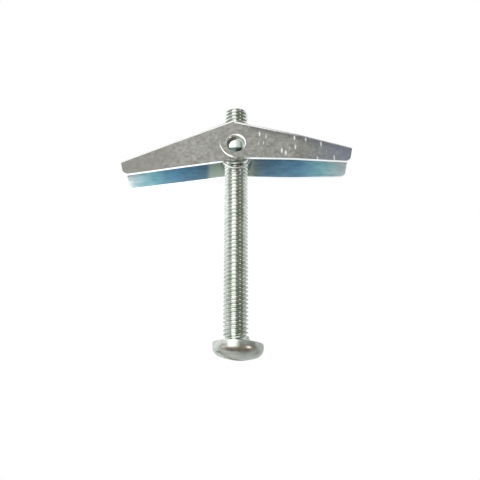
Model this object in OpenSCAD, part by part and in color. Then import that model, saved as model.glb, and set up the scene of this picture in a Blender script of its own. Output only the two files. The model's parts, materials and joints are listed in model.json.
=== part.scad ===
// Spring toggle bolt, lying on its side as it comes to rest.
// The bolt runs along Y with its tip at +Y, and the wings spread along X.
// Each piece is drawn about the bolt's axis, with Y = 0 at the head's bearing face,
// and placed() then moves it so that the origin is under the middle, on the surface.

/* [Bolt] */
// Outside diameter of the thread
bolt_d = 4.85; // [4.8:0.05:5]
// Distance from one turn of the thread to the next
thread_pitch = 0.8; // [0.75:0.05:1]
// Depth of the thread's grooves
thread_depth = 0.42; // [0.3:0.01:0.45]
// Width of the flat on the thread's crest
crest_w = 0.1; // [0.08:0.01:0.15]
// Length from the head's bearing face to the tip
bolt_len = 50; // [48:1:80]
// Chamfer at the tip
tip_chamfer = 0.4; // [0.2:0.1:0.8]
// Diameter of the pan head
head_d = 9.7; // [9.45:0.05:10]
// Height of the pan head
head_h = 3.1; // [2.95:0.05:3.3]
// Height of the straight band round the head's rim
rim_h = 0.75; // [0.5:0.05:1]
// Radius of the head's rounded shoulder
shoulder_round = 1.85; // [1.2:0.05:1.85]
// How far the head sits off the shank's axis
head_shift = 0.45; // [0:0.05:0.45]
// Lean of the head from square to the shank
head_lean = 3; // [0:0.5:4]
// Radius of the flared neck where it meets the bearing face
neck_foot = 3.2; // [3:0.05:3.4]
// Height of the flared neck, up to the first turn of the thread
neck_h = 1.3; // [1:0.05:1.5]
// Width of the screwdriver slot
slot_w = 1.2; // [0.8:0.1:1.4]
// Depth of the screwdriver slot
slot_depth = 1.2; // [0.8:0.1:1.5]
// Angle of the slot about the bolt's axis
slot_turn = 35; // [0:1:180]

/* [Trunnion nut] */
// Distance from the bearing face to the wings' hinge axis
pivot_y = 39.6; // [38:0.1:41]
// Radius of the barrel that the thread runs through
barrel_r = 3.3; // [3.1:0.05:3.5]
// Half length of the barrel
barrel_half = 2.65; // [2.6:0.01:2.68]
// Radius of the shoulders that the spring hangs on
shoulder_r = 2.6; // [2.3:0.05:2.8]
// Radius of the journals that the wings turn on
journal_r = 1.55; // [1.3:0.05:1.55]
// Rounding at the journals' ends
journal_round = 0.4; // [0.1:0.05:0.6]

/* [Wings] */
// Thickness of the sheet
sheet_t = 0.7; // [0.6:0.05:0.7]
// Outside radius of the sheet's bends
bend_r = 1.15; // [1:0.05:1.15]
// Radius of the ear round each hinge hole
ear_r = 3.3; // [3.3:0.1:3.4]
// Radius of the hinge holes
hole_r = 2.05; // [2.05:0.05:2.2]
// Height of a wing at its tip
tip_h = 3.55; // [3.55:0.15:3.7]
// Length of the straight stretch before the flanges turn inwards
knee_u = 13; // [12.5:0.5:13]
// How far the spring lifts the ears off the journals' centres
ear_lift = 0.45; // [0.3:0.05:0.45]
// Radius of the rounded corner at a flange's tip
tip_round = 1.2; // [1:0.1:1.4]
// Half width over the outer wing's ears
outer_half = 4.7; // [4.7:0.05:4.75]
// Half width over the outer wing's tip
outer_tip_half = 3.85; // [3.85:0.15:4.15]
// Length of the outer wing from its ear to its tip
outer_len = 23.9; // [22.4:0.5:23.9]
// Height of the outer wing's back above its ear's centre
outer_rise = 5.5; // [5.5:0.1:5.7]
// Lean of the outer wing's end, from square to its open edges
outer_lean = 10; // [8:1:12]
// Slope of the outer wing's open edges below level
outer_rest = 1.5; // [0:0.5:2.5]
// Half width over the inner wing's tip
inner_tip_half = 3.7; // [3.5:0.05:3.8]
// Length of the inner wing from its ear to its tip
inner_len = 23.8; // [22.8:1:23.8]
// Height of the inner wing's back above its ear's centre
inner_rise = 6.3; // [6.1:0.1:6.4]
// Lean of the inner wing's end, from square to its open edges
inner_lean = 5; // [3:1:7]
// Slope of the inner wing's open edges below level
inner_rest = 8; // [7:0.5:9]

/* [Spring] */
// Diameter of the spring wire
wire_d = 0.44; // [0.3:0.02:0.44]
// Mean radius of the bow that hangs under the nut
bow_r = 3.15; // [3.1:0.05:3.3]
// Depth of the bow's centre below the hinge axis
bow_drop = 1.25; // [0.8:0.05:1.6]
// Length of each leg along its wing's back, to its end
leg_end = 9; // [7:0.1:10]

/* [Hidden] */

$fn = 96;
slack = 0.05;
bolt_r = bolt_d / 2;
root_r = bolt_r - thread_depth;
head_r = head_d / 2;
rim_edge = 0.2;
bore_r = bolt_r + 0.03;
middle_y = (bolt_len - head_h) / 2;

// The nested ears, from the outside in
inner_half = outer_half - sheet_t - slack;
shoulder_half = inner_half - sheet_t - slack;
journal_half = outer_half - 0.35;

// The spring lies between the shank and the inner wing's ear
spring_z = (bolt_r + inner_half - sheet_t) / 2 + 0.07;
leg_start = 4.6;
wire_sides = 8;

tip_v = tip_h - ear_r;
root_u = -0.45;
flange_depth = 14;
root_reach = 8;

module placed() {
    translate([0, -middle_y, head_r]) children();
}

// ---- Bolt ----

// The sections are half ones: X is the radius, Y runs along the bolt's axis.
// Each turn of the thread is drawn as a ring with the thread's own section.
module shank_section() {
    flank = thread_depth * tan(30);
    ridge = 2 * flank + crest_w;
    turns = ceil((bolt_len - neck_h) / thread_pitch);
    intersection() {
        polygon([[0, -rim_h], [bolt_r, -rim_h], [bolt_r, bolt_len - tip_chamfer],
                 [bolt_r - tip_chamfer, bolt_len], [0, bolt_len]]);
        union() {
            translate([0, -rim_h]) square([root_r, 2 * bolt_len]);
            for (turn = [0 : turns - 1]) translate([0, neck_h + turn * thread_pitch])
                polygon([[0, 0], [root_r, 0], [bolt_r, flank], [bolt_r, flank + crest_w],
                         [root_r, ridge], [0, ridge]]);
        }
    }
}

module neck_section() {
    polygon([[0, -rim_h / 2], [neck_foot, -rim_h / 2], [neck_foot, 0], [root_r, neck_h], [0, neck_h]]);
}

// A crown of large radius that runs smoothly into a rounded shoulder
module head_section() {
    shoulder_x = head_r - shoulder_round;
    rise = head_h - rim_h;
    crown_r = (shoulder_x * shoulder_x + rise * rise - shoulder_round * shoulder_round)
        / (2 * (rise - shoulder_round));
    intersection() {
        translate([0, crown_r - head_h]) circle(r = crown_r, $fn = 160);
        union() {
            translate([0, -head_h - 1]) square([shoulder_x, head_h + 1]);
            translate([0, -rim_h]) square([head_r, rim_h - rim_edge]);
            translate([0, -rim_h]) square([head_r - rim_edge, rim_h]);
            translate([shoulder_x, -rim_h]) circle(r = shoulder_round);
            translate([head_r - rim_edge, -rim_edge]) circle(r = rim_edge);
        }
        translate([0, -head_h - 1]) square([head_r, head_h + 1]);
    }
}

module bolt() {
    color("#9aa19a") placed() {
        rotate([-90, 0, 0]) rotate_extrude() shank_section();
        translate([head_shift, 0, 0]) rotate([0, 0, -head_lean]) difference() {
            rotate([-90, 0, 0]) rotate_extrude() {
                head_section();
                neck_section();
            }
            rotate([0, slot_turn, 0])
                translate([-head_d, -head_h - 1, -slot_w / 2])
                    cube([2 * head_d, slot_depth + 1, slot_w]);
        }
    }
}

// ---- Trunnion nut ----

module journal() {
    end_r = journal_r - journal_round;
    rotate_extrude() {
        square([journal_r, journal_half - journal_round]);
        square([end_r, journal_half]);
        intersection() {
            translate([end_r, journal_half - journal_round]) circle(r = journal_round);
            square([journal_r, journal_half]);
        }
    }
}

module trunnion_nut() {
    color("#7f8680") placed() translate([0, pivot_y, 0]) difference() {
        union() {
            cylinder(r = barrel_r, h = 2 * barrel_half, center = true);
            cylinder(r = shoulder_r, h = 2 * shoulder_half, center = true);
            journal();
            mirror([0, 0, 1]) journal();
        }
        rotate([90, 0, 0]) cylinder(r = bore_r, h = 4 * barrel_r, center = true);
    }
}

// ---- Wings ----
// A wing is drawn about its ear's centre: X runs out along its open edges,
// Y points away from the bolt's head, and Z is the hinge axis.

// Angle between a wing's back and its open edges
function back_slope(rise, length) = atan2(rise - tip_v, length);

// Outline of a flange: ear, sloping back, leaning end and a rounded lower corner
module flange_outline(rise, length, lean) {
    root = [root_u, rise - root_u * tan(back_slope(rise, length))];
    up = [sin(lean), cos(lean)];
    back_tip = [length, tip_v];
    low_tip = back_tip - up * tip_h / up.y;
    inset = tip_round / tan((90 + lean) / 2);
    corner_mid = low_tip + tip_round * (up + [-1, 0]) / cos(lean);
    polygon([[0, 0], [0, -ear_r], low_tip - [inset, 0], corner_mid,
             low_tip + inset * up, back_tip, root, [root_u, 0]]);
    circle(r = ear_r);
    translate(corner_mid) circle(r = tip_round);
}

// Lays a shape drawn in X and Y across the sheet, X to +Z, and its height along X
module along_back() {
    rotate([0, 90, 0]) mirror([1, 0, 0]) children();
}

// Plan of the channel seen along its back, set in from the outside by inset
module plan(half, tip_half, knee, reach, inset) {
    turn_in = atan((half - tip_half) / reach);
    past = 1.5;
    bend_x = knee - inset * tan(turn_in / 2);
    end_z = tip_half - past * tan(turn_in) - inset / cos(turn_in);
    side = [[-root_reach, half - inset], [bend_x, half - inset], [knee + reach + past, end_z]];
    polygon(concat(side, [for (i = [2 : -1 : 0]) [side[i].x, -side[i].y]]));
}

// What a bend of radius r takes off the square edges of the back
module edge_waste(r, half, tip_half, knee, reach) {
    turn_in = atan((half - tip_half) / reach);
    for (far = [0, 1]) mirror([0, 0, far]) {
        translate([-root_reach - 1, -bend_r, half - bend_r])
            along_back() linear_extrude(root_reach + 1 + knee) corner_waste(r);
        translate([knee, 0, half]) rotate([0, turn_in, 0])
            translate([0, -bend_r, -bend_r])
                along_back() linear_extrude(reach + 3) corner_waste(r);
    }
}

module corner_waste(r) {
    difference() {
        square(r + 1);
        circle(r = r);
    }
}

// The bent sheet: parallel up to the knee, then both sides turned inwards
module channel(half, tip_half, rise, length, lean) {
    slope = back_slope(rise, length);
    knee = knee_u / cos(slope);
    reach = (length - knee_u) / cos(slope);
    difference() {
        intersection() {
            linear_extrude(2 * half + 2, center = true) flange_outline(rise, length, lean);
            on_back(rise, slope) rotate([90, 0, 0])
                linear_extrude(2 * flange_depth, center = true) plan(half, tip_half, knee, reach, 0);
        }
        on_back(rise, slope) {
            edge_waste(bend_r, half, tip_half, knee, reach);
            difference() {
                translate([0, -sheet_t, 0]) rotate([90, 0, 0])
                    linear_extrude(flange_depth) plan(half, tip_half, knee, reach, sheet_t);
                edge_waste(bend_r - sheet_t, half, tip_half, knee, reach);
            }
        }
    }
}

// Puts the origin on the outside of the back, above the ear, with X along the back
module on_back(rise, slope) {
    translate([0, rise, 0]) rotate([0, 0, -slope]) children();
}

module wing(half, tip_half, rise, length, lean, rest) {
    translate([0, pivot_y + ear_lift, 0]) difference() {
        rotate([0, 0, -rest]) difference() {
            channel(half, tip_half, rise, length, lean);
            cylinder(r = hole_r, h = 2 * half + 1, center = true);
        }
        // Between the flanges the back is cut off square where it stops against the shank
        translate([-root_reach, 0, sheet_t - half])
            cube([root_reach + bolt_r + slack, 2 * rise, 2 * (half - sheet_t)]);
    }
}

module outer_wing() {
    color("#8e8e8a") placed()
        wing(outer_half, outer_tip_half, outer_rise, outer_len, outer_lean, outer_rest);
}

module inner_wing() {
    color("#98988f") placed() mirror([1, 0, 0])
        wing(inner_half, inner_tip_half, inner_rise, inner_len, inner_lean, inner_rest);
}

// ---- Spring ----

// Point on a leg, a distance along the inside of a wing's back
function leg_point(along, rise, length, rest) =
    let (slope = back_slope(rise, length),
         under = sheet_t + wire_d / 2 + slack,
         turn = rest + slope,
         x = along,
         y = rise * cos(slope) - under)
    [x * cos(turn) + y * sin(turn), pivot_y + ear_lift + y * cos(turn) - x * sin(turn)];

function bend(a, b, c, steps) =
    [for (i = [1 : steps - 1]) let (t = i / steps)
        (1 - t) * (1 - t) * a + 2 * t * (1 - t) * b + t * t * c];

// One side of the wire, from the leg's end down to the bow
function wire_side(rise, length, rest) =
    let (far = leg_point(leg_end, rise, length, rest),
         near = leg_point(leg_start, rise, length, rest),
         heading = near - far,
         side_top = [bow_r, pivot_y + 1],
         corner = near + heading * (near.x - bow_r) / -heading.x)
    concat([far, near], bend(near, corner, side_top, 8), [side_top]);

function mirrored(points) = [for (p = points) [-p.x, p.y]];
function backwards(points) = [for (i = [len(points) - 1 : -1 : 0]) points[i]];

wire_path = concat(
    mirrored(wire_side(inner_rise, inner_len, inner_rest)),
    [for (a = [180 : 12 : 360])
        [bow_r * cos(a), pivot_y - bow_drop + bow_r * sin(a)]],
    backwards(wire_side(outer_rise, outer_len, outer_rest)));

function heading_at(path, i) =
    let (last = len(path) - 1,
         d = path[min(i + 1, last)] - path[max(i - 1, 0)])
    d / norm(d);

function wire_ring(path, i) =
    let (d = heading_at(path, i))
    [for (k = [0 : wire_sides - 1]) let (a = 360 * k / wire_sides)
        [path[i].x - d.y * cos(a) * wire_d / 2,
         path[i].y + d.x * cos(a) * wire_d / 2,
         spring_z + sin(a) * wire_d / 2]];

module spring() {
    rings = len(wire_path);
    n = wire_sides;
    points = [for (i = [0 : rings - 1]) each wire_ring(wire_path, i)];
    sides = [for (i = [0 : rings - 2], k = [0 : n - 1])
        [i * n + k, i * n + (k + 1) % n, (i + 1) * n + (k + 1) % n, (i + 1) * n + k]];
    start = [for (k = [n - 1 : -1 : 0]) k];
    end = [for (k = [0 : n - 1]) (rings - 1) * n + k];
    color("#c9cdca") placed() polyhedron(points, concat([start], sides, [end]));
}

bolt();
trunnion_nut();
outer_wing();
inner_wing();
spring();
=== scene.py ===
# %% [markdown]
# # A spring toggle bolt, dressed for a product shot
# A toggle bolt holds a load on a hollow wall: its two sprung wings fold, go through a hole, and open behind
# the board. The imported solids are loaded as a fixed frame. Then the screw gets its real rolled thread, the
# pressed wings get their drawn-in holes and ears, the spring gets legs that follow the wings, and every
# surface gets a zinc finish of its own.

# %% Setup
import json
import math

import bmesh
import bpy
from mathutils import Matrix, Vector
from mathutils.bvhtree import BVHTree


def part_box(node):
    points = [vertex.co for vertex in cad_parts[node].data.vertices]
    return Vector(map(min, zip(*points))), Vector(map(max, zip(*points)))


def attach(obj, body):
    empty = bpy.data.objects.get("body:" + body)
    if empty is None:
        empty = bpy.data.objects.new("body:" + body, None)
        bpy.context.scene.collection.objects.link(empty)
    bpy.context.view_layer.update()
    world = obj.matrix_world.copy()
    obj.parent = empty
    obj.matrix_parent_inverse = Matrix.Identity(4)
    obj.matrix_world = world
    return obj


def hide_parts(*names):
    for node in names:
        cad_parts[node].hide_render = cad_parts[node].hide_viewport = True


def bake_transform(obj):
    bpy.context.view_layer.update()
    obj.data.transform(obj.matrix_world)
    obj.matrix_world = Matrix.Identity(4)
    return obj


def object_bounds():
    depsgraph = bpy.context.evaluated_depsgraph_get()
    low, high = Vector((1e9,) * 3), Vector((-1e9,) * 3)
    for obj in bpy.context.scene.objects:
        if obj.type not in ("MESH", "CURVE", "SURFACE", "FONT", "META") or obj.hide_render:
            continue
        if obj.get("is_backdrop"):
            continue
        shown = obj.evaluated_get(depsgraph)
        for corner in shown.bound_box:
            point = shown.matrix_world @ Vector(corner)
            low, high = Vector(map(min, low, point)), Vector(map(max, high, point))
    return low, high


MM = 0.001

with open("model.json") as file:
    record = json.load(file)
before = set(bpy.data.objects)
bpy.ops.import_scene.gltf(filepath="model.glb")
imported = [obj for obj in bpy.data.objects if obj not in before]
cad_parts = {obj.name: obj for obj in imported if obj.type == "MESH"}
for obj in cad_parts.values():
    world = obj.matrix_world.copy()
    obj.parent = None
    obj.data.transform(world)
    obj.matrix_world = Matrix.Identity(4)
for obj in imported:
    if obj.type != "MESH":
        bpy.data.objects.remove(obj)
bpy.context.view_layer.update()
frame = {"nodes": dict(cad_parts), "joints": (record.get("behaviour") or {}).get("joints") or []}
joints = {joint["name"]: joint for joint in frame["joints"]}
print("nodes:", ", ".join(sorted(frame["nodes"])))

# %% [markdown]
# Everything is placed from the frame. The screw's axis runs along Y and crosses the hinge axis. The screw
# is 50 mm long under its head, so the head's bearing face lies that far from the tip.

# %% Places taken from the frame
SHANK_LENGTH = 50 * MM
pivot = Vector(joints["outer_wing_fold"]["pos_m"])
axis_z = pivot.z
bearing_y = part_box("bolt")[1].y - SHANK_LENGTH
print(f"bearing face at y {bearing_y / MM:.2f} mm, hinge axis at y {pivot.y / MM:.2f} mm")

# %% [markdown]
# Blender's operators act on whatever is selected, so each step starts by selecting exactly what it works
# on. A finished piece sits at the origin with its place in its mesh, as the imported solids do.

# %% Helpers for modelling
def only(piece):
    """Selects one object and nothing else, and makes it the active one."""
    bpy.ops.object.select_all(action="DESELECT")
    piece.select_set(True)
    bpy.context.view_layer.objects.active = piece


def edit(piece, mode="VERT"):
    """Opens the piece's mesh for editing with nothing selected."""
    only(piece)
    bpy.ops.object.mode_set(mode="EDIT")
    bpy.ops.mesh.select_mode(type=mode)
    bpy.ops.mesh.select_all(action="DESELECT")


def done():
    bpy.ops.object.mode_set(mode="OBJECT")


def apply_modifier(piece, kind, **settings):
    """Adds a modifier with its settings and applies it at once."""
    only(piece)
    modifier = piece.modifiers.new(kind.lower(), kind)
    for name, value in settings.items():
        setattr(modifier, name, value)
    bpy.ops.object.modifier_apply(modifier=modifier.name)


def settle(piece, name):
    """Puts the piece's place into its mesh and names it."""
    only(piece)
    bpy.ops.object.transform_apply(location=True, rotation=True, scale=True)
    piece.name = name
    piece.data.name = name


def smooth(piece, angle):
    only(piece)
    bpy.ops.object.shade_smooth_by_angle(angle=math.radians(angle))


def dress(piece, *materials):
    """Gives the piece these materials, in this order, and no others."""
    piece.data.materials.clear()
    for material in materials:
        piece.data.materials.append(material)


def remove(piece):
    bpy.data.objects.remove(piece, do_unlink=True)


def count(piece):
    piece.data.calc_loop_triangles()
    return len(piece.data.loop_triangles)


# %% [markdown]
# ## The camera
# The part lies on its side. It is seen from above, a little from the head's end, so that the undersides of
# both wings show. A short telephoto lens keeps the wings' lines nearly parallel. The camera comes first, so
# that each piece can be judged as soon as it is made.

# %% Camera
TILT = math.radians(19.82)
YAW = math.radians(0.8)
FROM_BEARING = Vector((0.80, -17.49, 105.8)) * MM

camera_data = bpy.data.cameras.new("product_camera")
camera_data.sensor_width = 36
camera_data.lens = 42.15
camera_data.clip_start = 0.001
camera_data.clip_end = 50
camera = bpy.data.objects.new("product_camera", camera_data)
bpy.context.scene.collection.objects.link(camera)
camera.location = Matrix.Rotation(YAW, 3, "Y") @ FROM_BEARING + Vector((0, bearing_y, axis_z))
camera.rotation_euler = (TILT, YAW, 0)
bpy.context.scene.camera = camera
print(f"camera {camera.location.z / MM:.0f} mm above the table, tilted {math.degrees(TILT):.1f} degrees")

# %% [markdown]
# ## Finishes
# Every piece is zinc plated steel, yet no two surfaces look alike: plating copies the steel under it, so a
# rolled thread shines, sheet is dull, and a sheared edge glitters. Colours are written as sRGB hex and
# turned into the linear values that Blender works with. One function adds a node with its settings and
# links, and hands back the output that the next node needs.


# %% Helpers for finishes
def rgb(hex_colour):
    """An sRGB hex colour as linear RGBA."""
    parts = [int(hex_colour[i : i + 2], 16) / 255 for i in (0, 2, 4)]
    return [c / 12.92 if c <= 0.04045 else ((c + 0.055) / 1.055) ** 2.4 for c in parts] + [1]


def add(tree, kind, inputs=None, output=0, stops=(), **settings):
    """Adds a node and gives one output. An input is a value or another output; stops are a ramp's colours."""
    node = tree.nodes.new("ShaderNode" + kind)
    for name, value in settings.items():
        setattr(node, name, value)
    for name, value in (inputs or {}).items():
        if isinstance(value, bpy.types.NodeSocket):
            tree.links.new(value, node.inputs[name])
        else:
            node.inputs[name].default_value = value
    for i, (place, colour) in enumerate(stops):
        if i > 1:
            node.color_ramp.elements.new(1.0)
        node.color_ramp.elements[i].position = place
        node.color_ramp.elements[i].color = rgb(colour)
    return node.outputs[output] if node.outputs else None


SOFT = {"interpolation_type": "SMOOTHSTEP"}
COLOURS = {"data_type": "RGBA", "output": 2}


def new_material(name):
    """An empty material, its node tree, and its place on the piece as an output."""
    material = bpy.data.materials.new(name)
    material.use_nodes = True
    material.node_tree.nodes.clear()
    return material, material.node_tree, add(material.node_tree, "TexCoord", output="Object")


def finish(tree, colour, roughness, height, relief, metallic=1.0):
    """Ends a finish. A lower metallic share stands for a hazy film, and relief is a real depth."""
    normal = add(tree, "Bump", {"Height": height, "Distance": relief, "Strength": 1.0})
    inputs = {"Base Color": colour, "Metallic": metallic, "Roughness": roughness, "Normal": normal}
    add(tree, "OutputMaterial", {"Surface": add(tree, "BsdfPrincipled", inputs)})


# %% [markdown]
# ### The screw
# Bright zinc plate on rolled steel, with a clear passivation. Rolling leaves the flanks nearly polished, so
# the thread is a mirror under a thin haze, with a faint green cast from the passivation and soft clouds
# where the bath dried. The cold headed head is a little duller. Clouds are 1.2 mm across. The haze specks
# are really a few hundredths of a millimetre, and are drawn at 0.15 mm to show.

# %% Screw finish
CLOUD = 1.2 * MM
SPECK = 0.15 * MM
HAZE = 0.2
THREAD_ROUGHNESS = 0.07
HEAD_ROUGHNESS = 0.2

screw_zinc, tree, place = new_material("bright_zinc_on_rolled_steel")
clouds = add(tree, "TexNoise", {"Vector": place, "Scale": 1 / CLOUD, "Detail": 3})
haze = add(tree, "TexNoise", {"Vector": place, "Scale": 1 / SPECK, "Detail": 3})
colour = add(tree, "ValToRGB", {"Fac": clouds}, stops=((0.35, "B4BEB4"), (0.5, "C6CCC4"), (0.65, "D4D8D2")))
along = add(tree, "SeparateXYZ", {"Vector": place}, "Y")
ends = {"From Min": bearing_y + 0.5 * MM, "From Max": bearing_y - 0.5 * MM}
headed = add(tree, "MapRange", {"Value": along, **ends}, **SOFT)
least = add(tree, "Mix", {0: headed, 2: THREAD_ROUGHNESS, 3: HEAD_ROUGHNESS})
roughness = add(tree, "Math", {0: haze, 1: HAZE, 2: least}, operation="MULTIPLY_ADD")
finish(tree, colour, roughness, haze, 0.004 * MM)
print(f"{screw_zinc.name}: clouds {CLOUD / MM} mm, specks {SPECK / MM} mm")

# %% [markdown]
# ### The sheet's outside
# Zinc plated mild steel strip, tumbled in a barrel after pressing. Tumbling scuffs the zinc to a soft grey
# sheen with lighter and darker blots 0.7 mm across. The grain is really about 0.02 mm and is drawn at 0.1
# mm to show. Knocks from other parts leave upright nicks 0.3 by 1 mm on the right wing's upper half: a
# Voronoi pattern gives each cell at most one, and only some cells are chosen. The zinc turns violet towards
# the right wing's tip, where the passivation dried thicker, and darker towards the left wing's tip. A darker
# band along the right wing's fold is painted shade.

# %% Sheet finish, outside
GRAIN = 0.1 * MM
BLOT = 0.7 * MM
NICK_CELL = 2.6 * MM
NICK_SLIMNESS = 0.28

outside_zinc, tree, place = new_material("tumbled_zinc_plated_strip")
x, y = (add(tree, "SeparateXYZ", {"Vector": place}, axis) for axis in "XY")
lengthwise = add(tree, "Mapping", {"Vector": place, "Scale": (0.5, 1, 1)})
grain = add(tree, "TexNoise", {"Vector": lengthwise, "Scale": 1 / GRAIN, "Detail": 4})
drawn = add(tree, "Mapping", {"Vector": place, "Scale": (1 / 1.2, 1, 1)})
blots = add(tree, "TexNoise", {"Vector": drawn, "Scale": 1 / BLOT, "Detail": 6, "Roughness": 0.65})
colour = add(tree, "ValToRGB", {"Fac": blots}, stops=((0.32, "84847E"), (0.5, "979792"), (0.68, "ABABA7")))

# %% [markdown]
# The three slow changes of colour come one after another, each with its own share: the painted shade along
# the fold, the right tip and the left tip. The wings slope, so a sloping line, part X and part Y, follows the
# right wing's fold.

# %% Slow changes of colour on the outside
FOLD_SLOPE = 0.25
right = add(tree, "MapRange", {"Value": x, "From Min": 1 * MM, "From Max": 3 * MM}, **SOFT)
sloping = add(tree, "Math", {0: x, 1: FOLD_SLOPE, 2: y}, operation="MULTIPLY_ADD")
ends = {"From Min": pivot.y + 3.6 * MM, "From Max": pivot.y + 4.8 * MM}
folded = add(tree, "MapRange", {"Value": sloping, **ends}, **SOFT)
# Painted shade: the outside is darkened along the right wing's fold.
painted_fold_shade = add(tree, "Math", {0: folded, 1: right}, operation="MULTIPLY")
changes = (
    (painted_fold_shade, 0.5, "5E5E64"),
    (add(tree, "MapRange", {"Value": x, "From Min": 12 * MM, "From Max": 22 * MM}, **SOFT), 0.5, "8C94AC"),
    (add(tree, "MapRange", {"Value": x, "From Min": -10 * MM, "From Max": -18 * MM}, **SOFT), 0.6, "82827C"),
)
for where, most, tone in changes:
    share = add(tree, "Math", {0: where, 1: most}, operation="MULTIPLY")
    colour = add(tree, "Mix", {0: share, 6: colour, 7: rgb(tone)}, **COLOURS)
print(f"{outside_zinc.name}: {len(changes)} slow changes of colour")

# %% Nicks
NICK_SLOPE = 0.14
CHOSEN = 0.36

upright = add(tree, "Mapping", {"Vector": place, "Scale": (1 / NICK_SLIMNESS, 1, 1)})
distance = add(tree, "TexVoronoi", {"Vector": upright, "Scale": 1 / NICK_CELL})
mark = add(tree, "MapRange", {"Value": distance, "From Min": 0.34, "From Max": 0.08}, **SOFT)
lot = add(tree, "SeparateColor", {"Color": distance.node.outputs["Color"]}, "Red")
chosen = add(tree, "MapRange", {"Value": lot, "From Min": CHOSEN, "From Max": CHOSEN + 0.02}, **SOFT)
height = add(tree, "Math", {0: x, 1: NICK_SLOPE, 2: y}, operation="MULTIPLY_ADD")
ends = {"From Min": pivot.y - 1.8 * MM, "From Max": pivot.y - 0.8 * MM}
upper = add(tree, "MapRange", {"Value": height, **ends}, **SOFT)
nick = mark
for share in (chosen, upper, right):
    nick = add(tree, "Math", {0: nick, 1: share}, operation="MULTIPLY")
colour = add(tree, "Mix", {0: nick, 6: colour, 7: rgb("E8EAEC")}, **COLOURS)
dull = add(tree, "MapRange", {"Value": grain, "To Min": 0.45, "To Max": 0.72})
roughness = add(tree, "Mix", {0: nick, 2: dull, 3: 0.4})
finish(tree, colour, roughness, grain, 0.014 * MM)
print(f"{outside_zinc.name}: nicks about {NICK_CELL * NICK_SLIMNESS * 0.4 / MM:.1f} mm wide")

# %% [markdown]
# ### The sheet's inside
# The channel's inside isn't reached by the tumbling, so it keeps its blue passivation: a film so thin that
# light from its two faces interferes. It is straw coloured next to the screw, where the nut's flange masked
# it, then deep blue, and it grows lighter to pale cyan at the open ends. The hues are the film's own, and
# the lightening towards the open ends is painted light, where light comes into the channel. The film
# scatters light, so the finish is only partly metallic. Stains run along the wing, 0.8 mm wide and three
# times as long.

# %% Sheet finish, inside
STAIN = 0.8 * MM
WING_REACH = 24 * MM
# The film's colours, partly painted light: they grow lighter towards the open ends, where light comes in.
FILM_AND_END_LIGHT = (
    (0.05, "E4ECE4"), (0.14, "D8E4E0"), (0.27, "A0C8DE"),
    (0.55, "A8D8F0"), (0.76, "CCFAFF"), (0.95, "F4FFFF"),
)

inside_zinc, tree, place = new_material("blue_passivated_zinc")
x = add(tree, "SeparateXYZ", {"Vector": place}, "X")
away = add(tree, "Math", {0: x}, operation="ABSOLUTE")
share = add(tree, "MapRange", {"Value": away, "From Max": WING_REACH})
film_and_end_light = add(tree, "ValToRGB", {"Fac": share}, stops=FILM_AND_END_LIGHT)
lengthwise = add(tree, "Mapping", {"Vector": place, "Scale": (1 / 3, 1, 1)})
stains = add(tree, "TexNoise", {"Vector": lengthwise, "Scale": 1 / STAIN, "Detail": 4})
tone = add(tree, "ValToRGB", {"Fac": stains}, stops=((0.3, "D4DCE0"), (0.7, "FFFFFF")))
colour = add(tree, "Mix", {0: 1.0, 6: film_and_end_light, 7: tone}, blend_type="MULTIPLY", **COLOURS)
masked = add(tree, "Math", {
    0: add(tree, "MapRange", {"Value": x, "From Min": -6.6 * MM, "From Max": -5.4 * MM}, **SOFT),
    1: add(tree, "MapRange", {"Value": x, "From Min": 4.2 * MM, "From Max": 3.0 * MM}, **SOFT),
}, operation="MULTIPLY")
colour = add(tree, "Mix", {0: masked, 6: colour, 7: rgb("F4FFF0")}, **COLOURS)
roughness = add(tree, "MapRange", {"Value": stains, "To Min": 0.22, "To Max": 0.42})
finish(tree, colour, roughness, stains, 0.01 * MM, metallic=0.3)
print(f"{inside_zinc.name}: {len(FILM_AND_END_LIGHT)} film colours over {WING_REACH / MM:.0f} mm")

# %% [markdown]
# ### The fold and the cut edges
# Over the fold the sheet was drawn round a hard tool, which burnished it in fine lines along the fold. The
# edges were sheared: the punch leaves bright streaks across the sheet's thickness, 0.15 mm apart, and the
# plating over them glitters almost white.

# %% Fold and edge finishes
HAIRLINE = 0.12 * MM
STREAK = 0.15 * MM

folded_zinc, tree, place = new_material("zinc_burnished_over_the_fold")
lengthwise = add(tree, "Mapping", {"Vector": place, "Scale": (0.25, 1, 1)})
lines = add(tree, "TexNoise", {"Vector": lengthwise, "Scale": 1 / HAIRLINE, "Detail": 3})
colour = add(tree, "ValToRGB", {"Fac": lines}, stops=((0.3, "B4B4B2"), (0.7, "DADADA")))
roughness = add(tree, "MapRange", {"Value": lines, "To Min": 0.18, "To Max": 0.36})
finish(tree, colour, roughness, lines, 0.006 * MM)

cut_zinc, tree, place = new_material("zinc_on_a_sheared_edge")
across = add(tree, "Mapping", {"Vector": place, "Scale": (2, 2, 0.5)})
streaks = add(tree, "TexNoise", {"Vector": across, "Scale": 1 / STREAK, "Detail": 3})
colour = add(tree, "ValToRGB", {"Fac": streaks}, stops=((0.3, "E2E6E6"), (0.7, "FFFFFF")))
roughness = add(tree, "MapRange", {"Value": streaks, "To Min": 0.15, "To Max": 0.4})
finish(tree, colour, roughness, streaks, 0.008 * MM)
print(f"{folded_zinc.name}: lines {HAIRLINE / MM} mm, {cut_zinc.name}: streaks {STREAK / MM} mm")

# %% [markdown]
# ### The nut
# Zinc plate on free cutting steel, turned from bar. The tool's feed leaves rings 0.08 mm apart round the
# axis, which only noise on the radius gives. Each end of the nut is dark green below its middle.

# %% Nut finish
FEED = 0.08 * MM
END_FACE = 3.3 * MM

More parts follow.
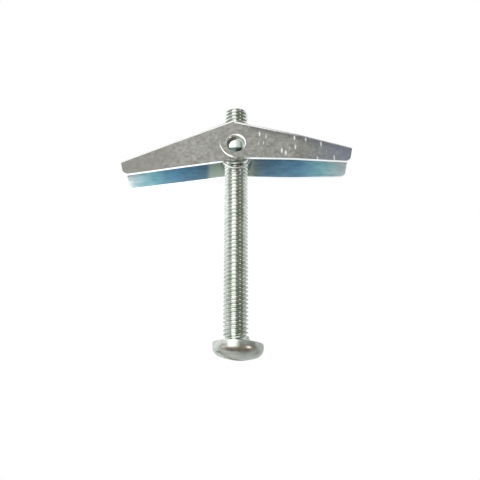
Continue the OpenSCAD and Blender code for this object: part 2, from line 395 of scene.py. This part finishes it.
turned_zinc, tree, place = new_material("zinc_on_turned_steel")
centred = add(tree, "Mapping", {"Vector": place, "Location": (0, -pivot.y, 0), "Scale": (1, 1, 0)})
radius = add(tree, "VectorMath", {0: centred}, "Value", operation="LENGTH")
outwards = add(tree, "CombineXYZ", {"X": radius})
rings = add(tree, "TexNoise", {"Vector": outwards, "Scale": 1 / FEED, "Detail": 2})
below = add(tree, "SeparateXYZ", {"Vector": centred}, "Y")
height = add(tree, "SeparateXYZ", {"Vector": place}, "Z")
from_middle = add(tree, "Math", {0: height, 1: axis_z}, operation="SUBTRACT")
from_middle = add(tree, "Math", {0: from_middle}, operation="ABSOLUTE")
ends = {"From Min": END_FACE, "From Max": END_FACE + 0.3 * MM}
# Each end is dark green below its middle.
dark_lower_half = add(tree, "Math", {
    0: add(tree, "MapRange", {"Value": below, "From Min": -0.3 * MM, "From Max": -0.5 * MM}, **SOFT),
    1: add(tree, "MapRange", {"Value": from_middle, **ends}, **SOFT),
}, operation="MULTIPLY")
colour = add(tree, "ValToRGB", {"Fac": rings}, stops=((0.3, "B4BEB6"), (0.7, "D2D8D2")))
colour = add(tree, "Mix", {0: dark_lower_half, 6: colour, 7: rgb("4E605A")}, **COLOURS)
roughness = add(tree, "MapRange", {"Value": rings, "To Min": 0.1, "To Max": 0.25})
finish(tree, colour, roughness, rings, 0.003 * MM)
print(f"{turned_zinc.name}: feed rings {FEED / MM} mm")

# %% [markdown]
# ### The spring's wire
# Hard drawn spring steel wire, zinc plated. Drawing through a die leaves it smooth and bright, with faint
# lighter and darker stretches about 0.3 mm long, which show as a soft unevenness along its highlight.

# %% Wire finish
DRAW_MARK = 0.3 * MM

wire_zinc, tree, place = new_material("zinc_on_drawn_wire")
marks = add(tree, "TexNoise", {"Vector": place, "Scale": 1 / DRAW_MARK, "Detail": 3})
colour = add(tree, "ValToRGB", {"Fac": marks}, stops=((0.35, "C2C4C0"), (0.65, "E8EAE8")))
roughness = add(tree, "MapRange", {"Value": marks, "To Min": 0.12, "To Max": 0.28})
finish(tree, colour, roughness, marks, 0.003 * MM)
print(f"{wire_zinc.name}: draw marks {DRAW_MARK / MM} mm")

# %% [markdown]
# ## The thread
# A rolled M5 thread is a ridge that winds round the shank, 0.8 mm a turn, with a hollow root and a blunt
# crest. A stack of rings would be easier, but then no turn would lead to the next. So one turn's outline is
# drawn once, as a chain of points, and the Screw modifier winds it up. The same modifier with no rise turns
# a chain on a lathe, and that makes every round piece here.

# %% Chains and turned shapes
FINE = 0.001 * MM


def chain(points):
    """An open chain of points in the XY plane, drawn by extruding one vertex along it."""
    bpy.ops.mesh.primitive_plane_add(size=MM)
    piece = bpy.context.object
    edit(piece)
    bpy.ops.mesh.select_all(action="SELECT")
    bpy.ops.mesh.merge(type="CENTER")
    bpy.ops.transform.translate(value=(points[0][0], points[0][1], 0))
    for here, there in zip(points, points[1:]):
        step = (there[0] - here[0], there[1] - here[1], 0)
        bpy.ops.mesh.extrude_vertices_move(TRANSFORM_OT_translate={"value": step})
    done()
    return piece


def close_up(piece):
    """Merges doubled points and turns every face outwards."""
    edit(piece)
    bpy.ops.mesh.select_all(action="SELECT")
    bpy.ops.mesh.remove_doubles(threshold=FINE)
    bpy.ops.mesh.normals_make_consistent(inside=False)
    done()


def turned(points, steps=64):
    """A solid of revolution about the Y axis. Points are (radius, height), from axis to axis."""
    piece = chain(points)
    apply_modifier(
        piece, "SCREW", axis="Y", steps=steps, render_steps=steps,
        use_merge_vertices=True, merge_threshold=FINE,
    )
    close_up(piece)
    return piece


# %% [markdown]
# Rounded outlines are short straight steps along an arc. Closed shapes are then joined and cut with exact
# booleans, which do the work of the heading die, the saw and the drill.

# %% Arcs and cuts
def arc(centre, radius, start, end, steps):
    """Points on an arc, in degrees from +X towards +Y."""
    angles = [math.radians(start + (end - start) * i / steps) for i in range(steps + 1)]
    return [(centre[0] + radius * math.cos(a), centre[1] + radius * math.sin(a)) for a in angles]


def combine(piece, other, how):
    """Joins, cuts or keeps the common part of two closed shapes, then removes the second one."""
    apply_modifier(piece, "BOOLEAN", operation=how, solver="EXACT", object=other)
    remove(other)


# %% [markdown]
# Rolling presses the groove in and pushes the metal up into the crest, so the root is a hollow arc and the
# crest is narrow with soft corners. The ridge is wound past both ends, and the bar cuts it to length later.

# %% Wind the thread
PITCH = 0.8 * MM
CREST_R = 2.42 * MM
ROOT_R = 2.02 * MM
CREST_HALF = 0.06 * MM
CREST_ROUND = 0.03 * MM
ROOT_ARC = 0.34 * MM
THREAD_STEPS = 48


def thread_outline():
    """One turn from root to root, as (radius, height): a hollow, a blunt crest, a hollow."""
    rising = []
    for angle in (0, 12, 24, 36, 46):
        turn = math.radians(angle)
        rising.append((ROOT_R + ROOT_ARC * (1 - math.cos(turn)), ROOT_ARC * math.sin(turn)))
    rising.append((CREST_R - CREST_ROUND, PITCH / 2 - CREST_HALF))
    rising.append((CREST_R, PITCH / 2 - 0.6 * CREST_HALF))
    return rising + [(radius, PITCH - height) for radius, height in reversed(rising)]


def wound_thread(length):
    """A closed helical ridge about the Y axis that runs past both 0 and length."""
    thread = chain([(radius, height - 2 * PITCH) for radius, height in thread_outline()])
    apply_modifier(
        thread, "SCREW", axis="Y", screw_offset=PITCH, iterations=math.ceil(length / PITCH) + 3,
        steps=THREAD_STEPS, render_steps=THREAD_STEPS,
    )
    close_up(thread)
    edit(thread)
    bpy.ops.mesh.select_all(action="SELECT")
    bpy.ops.mesh.fill_holes(sides=0)
    done()
    close_up(thread)
    return thread


screw = wound_thread(SHANK_LENGTH)
print(f"thread: {SHANK_LENGTH / PITCH:.1f} turns, {count(screw)} triangles")

# %% [markdown]
# ## The screw
# The head is cold headed: a low crown that runs into a rounded shoulder, with a slot across it for a flat
# driver. It sits a little off the shank's axis and leans by a few degrees, as the heads of such screws
# often do. It is turned as one outline, and a box sawn through it leaves the slot. A bevel then takes the
# sharpness off the slot.

# %% Turn the head
HEAD_R = axis_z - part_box("bolt")[0].z
HEAD_H = 3.1 * MM
RIM_H = 0.75 * MM
RIM_EDGE = 0.2 * MM
SHOULDER = 1.85 * MM
SLOT_W = 1.2 * MM
SLOT_DEPTH = 1.2 * MM
SLOT_TURN = math.radians(35)
SLOT_EDGE = 0.07 * MM


def screw_head():
    """The head, with its bearing face at height 0. The crown's radius is what makes it meet the shoulder."""
    shoulder_x = HEAD_R - SHOULDER
    rise = HEAD_H - RIM_H
    crown_r = (shoulder_x**2 + rise**2 - SHOULDER**2) / (2 * (rise - SHOULDER))
    crown_y = crown_r - HEAD_H
    meet = math.degrees(math.atan2(-RIM_H - crown_y, shoulder_x))
    outline = [(0, 0)]
    outline += arc((HEAD_R - RIM_EDGE, -RIM_EDGE), RIM_EDGE, 90, 0, 4)
    outline += arc((shoulder_x, -RIM_H), SHOULDER, 0, meet, 10)
    outline += arc((0, crown_y), crown_r, meet, -90, 8)[1:]
    return turned(outline)


def cut_slot(head):
    bpy.ops.mesh.primitive_cube_add(size=1)
    saw = bpy.context.object
    saw.dimensions = (3 * HEAD_R, 2 * SLOT_DEPTH, SLOT_W)
    saw.location = (0, -HEAD_H, 0)
    saw.rotation_euler = (0, SLOT_TURN, 0)
    only(saw)
    bpy.ops.object.transform_apply(location=True, rotation=True, scale=True)
    combine(head, saw, "DIFFERENCE")
    apply_modifier(
        head, "BEVEL", width=SLOT_EDGE, segments=2, limit_method="ANGLE", angle_limit=math.radians(40)
    )


# %% [markdown]
# A short flared neck joins the head to the thread. The bar that the thread is rolled on, the blank, cuts
# the thread to length and chamfers both its ends: what thread and blank have in common is the finished
# shank.

# %% Turn the neck and the blank
HEAD_SHIFT = 0.45 * MM
HEAD_LEAN = math.radians(3)
NECK_FOOT = 3.2 * MM
NECK_H = 1.3 * MM
TIP_CHAMFER = 0.4 * MM


def screw_neck():
    """A flare from the thread's root out to the head, a little hollow, as rolling leaves it."""
    flare = NECK_FOOT - ROOT_R
    hollow = [(ROOT_R + flare * t * t, NECK_H * (1 - t)) for t in (1, 0.85, 0.7, 0.5, 0.25, 0)]
    return turned([(0, -RIM_H), (NECK_FOOT, -RIM_H)] + hollow + [(0, NECK_H)])


def lean_over(piece):
    """Puts a piece drawn about the shank's axis where the leaning head sits."""
    piece.rotation_euler = (0, 0, -HEAD_LEAN)
    piece.location = (HEAD_SHIFT, 0, 0)
    only(piece)
    bpy.ops.object.transform_apply(location=True, rotation=True)
    return piece


def thread_blank(length):
    """The bar from the head to the tip, a little wider than the crests between its two chamfers."""
    wide = CREST_R + TIP_CHAMFER
    return turned([
        (0, 0),
        (ROOT_R, 0),
        (ROOT_R, NECK_H - TIP_CHAMFER),
        (wide, NECK_H + wide - ROOT_R - TIP_CHAMFER),
        (wide, length - 2 * TIP_CHAMFER),
        (CREST_R - TIP_CHAMFER, length),
        (0, length),
    ])


# %% [markdown]
# The thread is cut to length first, while it is still a clean helix. Then the neck and the slotted head are
# joined to it, and the whole screw moves to its place.

# %% Assemble the screw
combine(screw, thread_blank(SHANK_LENGTH), "INTERSECT")
combine(screw, lean_over(screw_neck()), "UNION")
head = screw_head()
cut_slot(head)
combine(screw, lean_over(head), "UNION")
screw.location = (0, bearing_y, axis_z)
settle(screw, "screw_with_thread")
smooth(screw, 45)
dress(screw, screw_zinc)
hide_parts("bolt")
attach(screw, "bolt")
print("screw:", count(screw), "triangles")

# %% [markdown]
# ## The pressed wings
# Each wing is blanked and pierced from 0.7 mm zinc plated strip and folded into a channel. It could be
# folded up again from a plane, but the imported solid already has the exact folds. So a copy of it is merged,
# and its flat faces are joined.

# %% Copy and find places on a wing
SHEET = 0.7 * MM
HOLE_R = 2.05 * MM
EAR_R = 3.3 * MM
EAR_LIFT = 0.45 * MM
middle = Vector((0, pivot.y + EAR_LIFT))


def merged_copy(node, name):
    """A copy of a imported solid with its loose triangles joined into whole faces."""
    piece = bpy.data.objects.new(name, frame["nodes"][node].data.copy())
    bpy.context.scene.collection.objects.link(piece)
    close_up(piece)
    edit(piece)
    bpy.ops.mesh.select_all(action="SELECT")
    bpy.ops.mesh.dissolve_limited(angle_limit=math.radians(0.5))
    done()
    return piece


def from_hinge(place):
    """Distance from the middle of the hinge holes, seen along the hinge."""
    return math.hypot(place.x, place.y - middle.y)


def on_hole(place):
    return abs(from_hinge(place) - HOLE_R) < 0.03 * MM


def on_ear(place):
    return abs(from_hinge(place) - EAR_R) < 0.02 * MM


# %% [markdown]
# A punch draws the sheet in before it cuts, which leaves a soft lip on the outside of the hinge holes and
# of the ear's free lower quarter. The cut wall is divided through the sheet into rings, and each ring is
# laid on a quarter circle. A bevel would be shorter, but some edges here are tiny, and they would hold it
# back to almost nothing.

# %% Draw in a punched wall
RINGS = 4
LEAST_GAP = 0.02 * MM


def draw_in(piece, on_wall, move):
    """Divides a punched wall into rings, 0 on the outside, and moves their points. Gives how many moved.

    A move gets a point and its turn on the quarter circle, and gives how deep the point sinks. Rings keep a
    least gap between them, so that no face becomes a sliver.
    """
    outside = max(abs(vertex.co.z - axis_z) for vertex in piece.data.vertices)
    edit(piece, "EDGE")
    mesh = bmesh.from_edit_mesh(piece.data)
    for edge in mesh.edges:
        a, b = edge.verts
        edge.select_set(on_wall(a.co) and on_wall(b.co) and abs(a.co.z - b.co.z) > 0.5 * SHEET)
    bmesh.update_edit_mesh(piece.data)
    bpy.ops.mesh.subdivide(number_cuts=RINGS)
    mesh = bmesh.from_edit_mesh(piece.data)
    moved = 0
    for vertex in mesh.verts:
        deep = outside - abs(vertex.co.z - axis_z)
        if on_wall(vertex.co) and deep < 1.1 * SHEET:
            ring = round(deep / SHEET * (RINGS + 1))
            sunk = max(move(vertex, math.pi / 2 * min(1, ring / RINGS)), LEAST_GAP * ring)
            if 0 < ring <= RINGS:
                vertex.co.z = axis_z + math.copysign(outside - sunk, vertex.co.z - axis_z)
            moved += 1
    bmesh.update_edit_mesh(piece.data)
    done()
    return moved


# %% [markdown]
# The two lips differ in how they leave the sheet. A hole's lip goes in all round, and most at the top. An
# ear's edge is only rounded where the ear is free, and it fades out towards its flange and its lowest point.

# %% Shape of the lips
LIP_DRAW = 0.12
LIP_DEPTH = 0.35 * MM
EAR_ROUND = 0.25 * MM


def hole_lip(vertex, turn):
    """Draws a hole's wall in, most of all at the top. Gives how deep under the outside the ring lies."""
    low_y = middle.y - HOLE_R
    vertex.co.x *= 1 - LIP_DRAW * math.sin(turn)
    vertex.co.y = low_y + (vertex.co.y - low_y) * (1 - LIP_DRAW * math.sin(turn))
    return LIP_DEPTH * (1 - math.cos(turn))


def ear_edge(vertex, turn):
    """Rounds an ear on its free lower quarter. Gives how deep under the outside the ring lies."""
    outwards = (vertex.co.xy - middle) / EAR_R
    free = min(1, max(0, 0.2 - 2 * outwards.y)) * min(1, 3 * abs(outwards.x))
    radius = EAR_ROUND * free
    vertex.co.xy = middle + outwards * (EAR_R - radius * (1 - math.sin(turn)))
    return radius * (1 - math.cos(turn))


# %% [markdown]
# A wing needs four finishes, so each face is sorted by what lies behind it. A ray goes in from the face's
# middle: if it meets a parallel face one sheet further on, the face is a side of the sheet, and otherwise
# the sheet was cut there. A side is inside the channel when it looks towards a line through the channel's
# hollow.

# %% Sort a wing's faces
OUTSIDE, INSIDE, CUT, FOLD = range(4)
HOLLOW = Vector((0, pivot.y - 4 * MM, axis_z))
PARALLEL = -0.98
SLANT = (0.25, 0.97)


def sort_faces(piece):
    """Gives each face the slot of its finish, judged at the middle of its biggest triangle."""
    tree = BVHTree.FromObject(piece, bpy.context.evaluated_depsgraph_get())
    biggest = {}
    piece.data.calc_loop_triangles()
    for triangle in piece.data.loop_triangles:
        if triangle.area > biggest.get(triangle.polygon_index, (-1,))[0]:
            biggest[triangle.polygon_index] = (triangle.area, triangle.center.copy())
    for face in piece.data.polygons:
        centre = biggest[face.index][1]
        hit, behind, _, distance = tree.ray_cast(centre - face.normal * 0.01 * MM, -face.normal)
        sheet = hit is not None and distance < 1.1 * SHEET and behind.dot(face.normal) < PARALLEL
        towards = Vector((centre.x, HOLLOW.y, HOLLOW.z)) - centre
        slanted = SLANT[0] < abs(face.normal.z) < SLANT[1]
        if not sheet or from_hinge(centre) < HOLE_R:
            face.material_index = CUT
        elif towards.dot(face.normal) > 0:
            face.material_index = INSIDE
        else:
            face.material_index = FOLD if slanted else OUTSIDE


# %% [markdown]
# Both wings go through the same steps. The ears come before the holes, because each step divides only its own
# wall. The finishes are sorted last, when every face has its final place.

# %% Press both wings
def pressed_wing(node, name):
    """One wing. Weighted normals keep its big flat faces flat next to its rounded edges."""
    wing = merged_copy(node, name)
    points = draw_in(wing, on_ear, ear_edge) + draw_in(wing, on_hole, hole_lip)
    dress(wing, outside_zinc, inside_zinc, cut_zinc, folded_zinc)
    sort_faces(wing)
    smooth(wing, 35)
    apply_modifier(wing, "WEIGHTED_NORMAL", keep_sharp=True, weight=100)
    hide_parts(node)
    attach(wing, node)
    print(f"{name}: {points} points drawn in, {count(wing)} triangles")


pressed_wing("outer_wing", "outer_wing_pressed")
pressed_wing("inner_wing", "inner_wing_pressed")

# %% [markdown]
# ## The nut
# The nut is turned from bar: a barrel with the cross hole for the screw, a collar each side for the spring,
# and two journals with slightly domed ends. Most of it hides between the wings, and one journal shows
# through its hinge hole. Half its outline is drawn and mirrored, turned on the lathe, laid along Z and
# drilled.

# %% Turn and drill the nut
BARREL_R = 3.3 * MM
BARREL_HALF = 2.65 * MM
COLLAR_R = 2.6 * MM
COLLAR_HALF = 3.2 * MM
JOURNAL_R = 1.55 * MM
JOURNAL_HALF = 4.35 * MM
JOURNAL_ROUND = 0.3 * MM
DOME = 0.12 * MM
BORE_R = 2.45 * MM
NUT_EDGE = 0.08 * MM


def half_nut():
    """The nut's outline from its waist to one end, as (radius, height)."""
    corner = JOURNAL_HALF - DOME - JOURNAL_ROUND
    outline = [
        (BARREL_R, BARREL_HALF), (COLLAR_R, BARREL_HALF), (COLLAR_R, COLLAR_HALF), (JOURNAL_R, COLLAR_HALF)
    ]
    outline += arc((JOURNAL_R - JOURNAL_ROUND, corner), JOURNAL_ROUND, 0, 80, 5)
    reach = outline[-1][0]
    return outline + [(reach * share, JOURNAL_HALF - DOME * share**2) for share in (0.75, 0.5, 0.25, 0)]


upper = half_nut()
lower = [(radius, -height) for radius, height in reversed(upper)]
nut = turned(lower + upper, steps=96)
along_z = (math.radians(90), 0, 0)
nut.rotation_euler = along_z
only(nut)
bpy.ops.object.transform_apply(rotation=True)
bpy.ops.mesh.primitive_cylinder_add(vertices=64, radius=BORE_R, depth=3 * BARREL_R, rotation=along_z)
combine(nut, bpy.context.object, "DIFFERENCE")
apply_modifier(nut, "BEVEL", width=NUT_EDGE, segments=2, limit_method="ANGLE", angle_limit=math.radians(40))
nut.location = pivot
settle(nut, "nut_turned")
smooth(nut, 35)
dress(nut, turned_zinc)
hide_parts("trunnion_nut")
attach(nut, "toggle_nut")
print("nut:", count(nut), "triangles")

# %% [markdown]
# ## The spring
# One hairpin of wire hangs under the nut and reaches up inside both wings, where its legs press on their
# backs and push them open. A curve with a round bevel gives the wire. Each half is a piece of its own,
# named after the wing that it pushes.

# %% Route of the wire
WIRE_R = 0.22 * MM
BOW_R = 3.15 * MM
BOW_STEPS = 12
BOW_DROP = 1.25 * MM
BOW_TOP = 1 * MM
SPRING_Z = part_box("spring")[1].z - WIRE_R
TIP_ABOVE_EAR = 0.25 * MM
LEG_GAP = 0.05 * MM
LEG_START = 4.6 * MM
LEG_END = 9 * MM
BEND_STEPS = 9
WINGS = {
    "outer_wing": {"side": 1, "rise": 5.5 * MM, "length": 23.9 * MM, "rest": math.radians(1.5)},
    "inner_wing": {"side": -1, "rise": 6.3 * MM, "length": 23.8 * MM, "rest": math.radians(8)},
}


def leg_point(along, rise, length, rest):
    """A point on a leg, some way along the inside of a wing's back."""
    slope = math.atan2(rise - TIP_ABOVE_EAR, length)
    height = rise * math.cos(slope) - SHEET - WIRE_R - LEG_GAP
    turn = rest + slope
    x = along * math.cos(turn) + height * math.sin(turn)
    y = height * math.cos(turn) - along * math.sin(turn)
    return Vector((x, middle.y + y))


def half_spring(side, rise, length, rest):
    """The wire's middle line, from the bow's lowest point to the end of one leg."""
    path = [Vector(point) for point in arc((0, pivot.y - BOW_DROP), BOW_R, 270, 360, BOW_STEPS)]
    top = Vector((BOW_R, pivot.y + BOW_TOP))
    near = leg_point(LEG_START, rise, length, rest)
    far = leg_point(LEG_END, rise, length, rest)
    corner = near + (near - far) * (near.x - BOW_R) / (far.x - near.x)
    path.append(top)
    for i in range(1, BEND_STEPS):
        t = i / BEND_STEPS
        path.append((1 - t) ** 2 * top + 2 * t * (1 - t) * corner + t * t * near)
    path += [near, near.lerp(far, 0.5), far]
    return [(side * point.x, point.y, SPRING_Z) for point in path]


# %% [markdown]
# The bow is a quarter circle up to its top, a curved bend leads from there to the leg, and a leg is straight
# where it lies on its wing's back.

# %% Bend the wire
def wire(path, radius, name):
    """A round wire along a path, as a closed mesh."""
    curve = bpy.data.curves.new(name, "CURVE")
    curve.dimensions = "3D"
    curve.bevel_depth = radius
    curve.bevel_resolution = 4
    curve.use_fill_caps = True
    line = curve.splines.new("POLY")
    line.points.add(len(path) - 1)
    for point, place in zip(line.points, path):
        point.co = (*place, 1)
    piece = bpy.data.objects.new(name, curve)
    bpy.context.scene.collection.objects.link(piece)
    only(piece)
    bpy.ops.object.convert(target="MESH")
    piece = bpy.context.object
    close_up(piece)
    return piece


for body, wing_shape in WINGS.items():
    path = half_spring(**wing_shape)
    leg = wire(path, WIRE_R, f"spring_half_on_{body}")
    smooth(leg, 60)
    dress(leg, wire_zinc)
    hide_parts("spring")
    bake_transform(leg)
    print(f"{leg.name}: {count(leg)} triangles")

# %% [markdown]
# ## The studio
# A light table, a white sheet lit from below, carries the part and takes away its shadow. Bright metal
# shows only what is round it, so the table's light falls off to the right and towards the head, as under a
# single tube. That uneven light only reaches the metal: straight on, the table is plain white. From below
# it is clear.

# %% Light table
TABLE_WIDTH = 6
TABLE_GAP = 0.2 * MM

bpy.ops.mesh.primitive_plane_add(size=TABLE_WIDTH, location=(0, 0, -TABLE_GAP))
table = bpy.context.object
settle(table, "light_table")
material, tree, place = new_material("white_light_table")
uneven = 1.0
for axis, start, end, low, high in (
    ("X", -12, 8, 1.1, 0.7),
    ("Y", -33, -24, 0.66, 1),
    ("Y", -15, 10, 1, 1.5),
):
    where = add(tree, "SeparateXYZ", {"Vector": place}, axis)
    ends = {"From Min": start * MM, "From Max": end * MM, "To Min": low, "To Max": high}
    level = add(tree, "MapRange", {"Value": where, **ends})
    uneven = add(tree, "Math", {0: uneven, 1: level}, operation="MULTIPLY")
seen = add(tree, "LightPath", output="Is Camera Ray")
strength = add(tree, "Mix", {0: seen, 2: uneven, 3: 1.0})
glow = add(tree, "Emission", {"Color": rgb("FFFFFF"), "Strength": strength})
from_below = add(tree, "NewGeometry", output="Backfacing")
surface = add(tree, "MixShader", {0: from_below, 1: glow, 2: add(tree, "BsdfTransparent")})
add(tree, "OutputMaterial", {"Surface": surface})
dress(table, material)
table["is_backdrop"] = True
print(f"light table: {TABLE_WIDTH} m square, {TABLE_GAP / MM} mm under the part")

# %% [markdown]
# The room is painted on the world, which is seen by direction: x to the right, y towards the screw's tip, z
# up. It has grey green walls, a lighter one on the right and a warm darker one on the head's side, a tall
# window behind on the left, and a lit ceiling panel in front of it. Three small patches finish it: a lamp
# on the right, a white board low on the left that lights the ear's rounded edge, and a dark doorway behind
# on the right.

# %% Room
WALLS = "78847E"
RIGHT_WALL = "A8B0AA"
FRONT_WALL = "8C766D"
WHITE = "FFFFFF"
DOORWAY = "46404C"
WINDOW_SLOPE = 0.36
PANEL_STRENGTH = 2.1
RIGHT_LAMP = (0.71, -0.43, 0.56)
LEFT_BOARD = (-0.88, -0.3, 0.3)
BACK_DOOR = (0.3, 0.95, 0.08)

world = bpy.data.worlds.new("studio_room")
bpy.context.scene.world = world
world.use_nodes = True
tree = world.node_tree
tree.nodes.clear()
way = add(tree, "TexCoord", output="Generated")
x, y, z = (add(tree, "SeparateXYZ", {"Vector": way}, axis) for axis in "XYZ")


def band(value, *ends):
    """1 between soft ends, given as pairs from 0 to 1."""
    share = 1.0
    for start, end in ends:
        step = add(tree, "MapRange", {"Value": value, "From Min": start, "From Max": end}, **SOFT)
        share = step if share == 1.0 else add(tree, "Math", {0: share, 1: step}, operation="MULTIPLY")
    return share


def patch(towards, inner, outer):
    """1 within a round patch of the room, 0 outside it."""
    gap = add(tree, "VectorMath", {0: way, 1: Vector(towards).normalized()}, "Value", operation="DISTANCE")
    return band(gap, (outer, inner))


behind = add(tree, "Math", {0: z, 1: -WINDOW_SLOPE, 2: y}, operation="MULTIPLY_ADD")
window = add(tree, "Math", {0: band(behind, (-0.08, 0.05)), 1: band(x, (0.3, 0.14))}, operation="MULTIPLY")
upright = add(tree, "Math", {0: band(y, (-0.6, -0.42)), 1: band(z, (0.1, 0.3))}, operation="MULTIPLY")
panel = add(tree, "Math", {0: band(x, (0.04, -0.08), (-0.76, -0.62)), 1: upright}, operation="MULTIPLY")

# %% [markdown]
# The paint goes on in layers, each over the last. Only reflections show it: straight on, the camera sees
# plain white.

# %% Paint the room
paint = (
    (band(x, (0.1, 0.5)), RIGHT_WALL),
    (band(y, (0.18, -0.05)), FRONT_WALL),
    (window, WHITE),
    (patch(LEFT_BOARD, 0.12, 0.3), WHITE),
    (patch(BACK_DOOR, 0.14, 0.26), DOORWAY),
    (panel, WHITE),
    (patch(RIGHT_LAMP, 0.08, 0.2), WHITE),
)
room = rgb(WALLS)
for share, tone in paint:
    room = add(tree, "Mix", {0: share, 6: room, 7: rgb(tone)}, **COLOURS)
ray = add(tree, "LightPath", output="Is Camera Ray")
seen = add(tree, "Mix", {0: ray, 6: room, 7: rgb(WHITE)}, **COLOURS)
bright = add(tree, "MapRange", {"Value": panel, "To Min": 1.0, "To Max": PANEL_STRENGTH})
strength = add(tree, "Mix", {0: ray, 2: bright, 3: 1.0})
add(tree, "OutputWorld", {"Surface": add(tree, "Background", {"Color": seen, "Strength": strength})})
bpy.context.scene.view_settings.view_transform = "Standard"
print(f"room: {len(paint)} layers of paint")

# %% [markdown]
# Two square lamps give the highlights that the room is too soft for: one high on the left, one on the
# right, where the room has its bright patch.

# %% Lamps
LAMP_DISTANCE = 0.6
LAMP_WATTS = 0.2
LEFT_SOFTBOX = (-0.5, -0.2, 0.8)


def softbox(name, aim, size):
    """A square lamp seen from the part in the direction aim."""
    lamp = bpy.data.lights.new(name, "AREA")
    lamp.shape = "RECTANGLE"
    lamp.size = size
    lamp.size_y = size
    lamp.energy = LAMP_WATTS
    lamp.color = rgb(WHITE)[:3]
    holder = bpy.data.objects.new(name, lamp)
    bpy.context.scene.collection.objects.link(holder)
    away = Vector(aim).normalized()
    holder.location = Vector((0, 0, axis_z)) + away * LAMP_DISTANCE
    holder.rotation_euler = away.to_track_quat("Z", "Y").to_euler()
    print(f"{name}: {size} m wide, {LAMP_DISTANCE} m away")


softbox("softbox_on_the_left", LEFT_SOFTBOX, 0.28)
softbox("lamp_on_the_right", RIGHT_LAMP, 0.12)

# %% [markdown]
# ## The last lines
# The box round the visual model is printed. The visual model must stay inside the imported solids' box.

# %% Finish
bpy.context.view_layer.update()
for low, high in zip(*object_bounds()):
    print(f"visual box: {low / MM:.2f} to {high / MM:.2f} mm")
